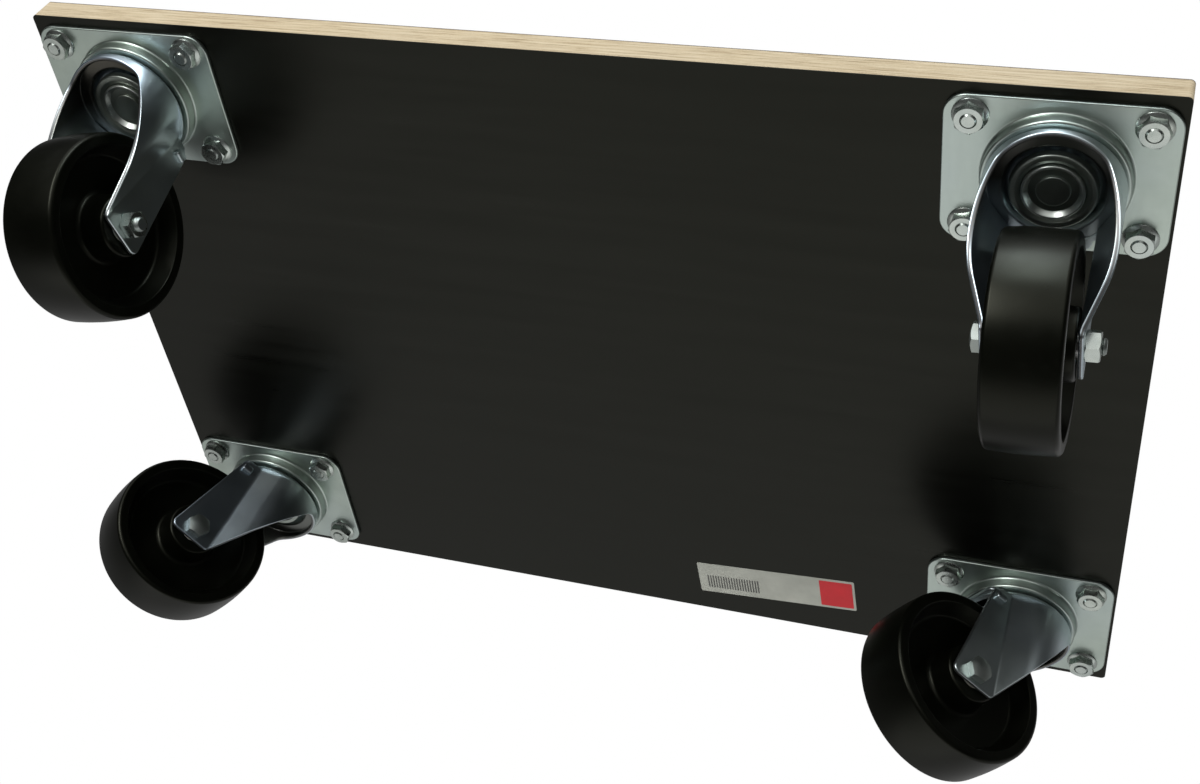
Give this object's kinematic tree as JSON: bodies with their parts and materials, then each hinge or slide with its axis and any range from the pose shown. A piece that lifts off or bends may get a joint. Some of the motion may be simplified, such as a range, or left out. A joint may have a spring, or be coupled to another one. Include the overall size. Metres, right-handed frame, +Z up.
{
  "type": "furniture dolly",
  "caption": "Flat rectangular furniture dolly: film-faced plywood deck carried on swivel casters with plain black wheels.",
  "frame": {"origin": "on the floor under the middle of the deck", "axes": "+X along the deck's length, +Y along its width, +Z up from the floor through the deck"},
  "size_m": [0.6169, 0.4, 0.143],
  "materials": {
    "plywood": "raw sanded birch plywood edge",
    "top_film": "phenolic film with anti-slip mesh print",
    "bottom_film": "smooth phenolic film, semi-gloss",
    "label": "printed vinyl label with a plain red panel",
    "zinc_plate": "bright zinc plated pressed sheet",
    "zinc_fork": "blue passivated zinc plated sheet",
    "zinc_pin": "zinc plated turned steel",
    "fasteners": "zinc plated steel",
    "ball_steel": "polished steel",
    "wheel_plastic": "black polypropylene, satin",
    "nylon": "natural nylon"
  },
  "bodies": {
    "deck": {"deck_core": "plywood", "deck_top_film": "top_film", "deck_bottom_film": "bottom_film", "label": "label", "deck_bolts": "fasteners", "deck_nuts": "fasteners", "front_left_top_plate": "zinc_plate", "front_left_kingpin": "zinc_pin", "front_left_upper_balls": "ball_steel", "front_left_lower_balls": "ball_steel", "front_left_lower_race": "zinc_pin", "front_right_top_plate": "zinc_plate", "front_right_kingpin": "zinc_pin", "front_right_upper_balls": "ball_steel", "front_right_lower_balls": "ball_steel", "front_right_lower_race": "zinc_pin", "rear_left_top_plate": "zinc_plate", "rear_left_kingpin": "zinc_pin", "rear_left_upper_balls": "ball_steel", "rear_left_lower_balls": "ball_steel", "rear_left_lower_race": "zinc_pin", "rear_right_top_plate": "zinc_plate", "rear_right_kingpin": "zinc_pin", "rear_right_upper_balls": "ball_steel", "rear_right_lower_balls": "ball_steel", "rear_right_lower_race": "zinc_pin"},
    "front_left_swivel": {"front_left_fork": "zinc_fork", "front_left_axle_bolt": "fasteners", "front_left_axle_nut": "fasteners", "front_left_axle_sleeve": "ball_steel"},
    "front_left_roller": {"front_left_wheel": "wheel_plastic", "front_left_wheel_bush": "nylon"},
    "front_right_swivel": {"front_right_fork": "zinc_fork", "front_right_axle_bolt": "fasteners", "front_right_axle_nut": "fasteners", "front_right_axle_sleeve": "ball_steel"},
    "front_right_roller": {"front_right_wheel": "wheel_plastic", "front_right_wheel_bush": "nylon"},
    "rear_left_swivel": {"rear_left_fork": "zinc_fork", "rear_left_axle_bolt": "fasteners", "rear_left_axle_nut": "fasteners", "rear_left_axle_sleeve": "ball_steel"},
    "rear_left_roller": {"rear_left_wheel": "wheel_plastic", "rear_left_wheel_bush": "nylon"},
    "rear_right_swivel": {"rear_right_fork": "zinc_fork", "rear_right_axle_bolt": "fasteners", "rear_right_axle_nut": "fasteners", "rear_right_axle_sleeve": "ball_steel"},
    "rear_right_roller": {"rear_right_wheel": "wheel_plastic", "rear_right_wheel_bush": "nylon"}
  },
  "joints": [
    {"name": "front_left_swivel_turn", "type": "hinge", "parent": "deck", "child": "front_left_swivel", "pos_m": [-0.246, -0.155, 0.118], "axis": [0, 0, 1], "continuous": true},
    {"name": "front_left_wheel_spin", "type": "hinge", "parent": "front_left_swivel", "child": "front_left_roller", "pos_m": [-0.23872, -0.12076, 0.05], "axis": [-0.9781, 0.2079, 0], "continuous": true},
    {"name": "front_right_swivel_turn", "type": "hinge", "parent": "deck", "child": "front_right_swivel", "pos_m": [0.246, -0.155, 0.118], "axis": [0, 0, 1], "continuous": true},
    {"name": "front_right_wheel_spin", "type": "hinge", "parent": "front_right_swivel", "child": "front_right_roller", "pos_m": [0.24783, -0.12005, 0.05], "axis": [-0.9986, 0.0523, 0], "continuous": true},
    {"name": "rear_left_swivel_turn", "type": "hinge", "parent": "deck", "child": "rear_left_swivel", "pos_m": [-0.246, 0.155, 0.118], "axis": [0, 0, 1], "continuous": true},
    {"name": "rear_left_wheel_spin", "type": "hinge", "parent": "rear_left_swivel", "child": "rear_left_roller", "pos_m": [-0.27075, 0.13025, 0.05], "axis": [0.7071, -0.7071, 0], "continuous": true},
    {"name": "rear_right_swivel_turn", "type": "hinge", "parent": "deck", "child": "rear_right_swivel", "pos_m": [0.246, 0.155, 0.118], "axis": [0, 0, 1], "continuous": true},
    {"name": "rear_right_wheel_spin", "type": "hinge", "parent": "rear_right_swivel", "child": "rear_right_roller", "pos_m": [0.21919, 0.1325, 0.05], "axis": [0.6428, -0.766, 0], "continuous": true}
  ]
}
